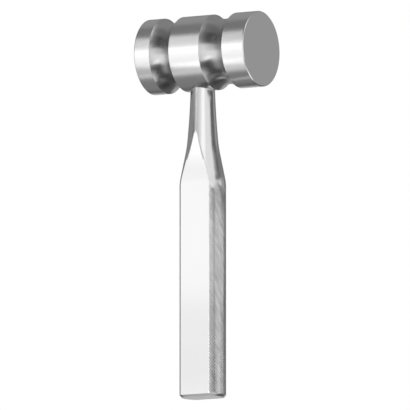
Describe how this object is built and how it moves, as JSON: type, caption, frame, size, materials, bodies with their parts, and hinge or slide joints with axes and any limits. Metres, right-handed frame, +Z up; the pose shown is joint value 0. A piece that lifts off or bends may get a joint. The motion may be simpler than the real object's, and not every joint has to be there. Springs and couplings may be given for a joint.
{
  "type": "surgical bone mallet",
  "caption": "All-steel surgical mallet: turned cylindrical head with two coves, tapered round stem, and a grip with smooth milled flats and knurled round sides.",
  "frame": {"origin": "middle of the handle's flat end face, on the handle's axis", "axes": "+Z up the handle to the head, +X along the head to the striking face on its longer side, +Y out of one milled flat of the grip"},
  "size_m": [0.058, 0.035, 0.1775],
  "materials": {
    "head_steel": "stainless steel, finely turned to a bright satin, with lapped flat striking faces",
    "handle_steel": "satin stainless steel, smooth on the flats and stem, fine diamond knurl on the grip's round sides",
    "dowel_steel": "ground stainless steel, flush with the head"
  },
  "bodies": {
    "root": {"head": "head_steel", "handle": "handle_steel", "locking_dowel": "dowel_steel"}
  },
  "joints": []
}
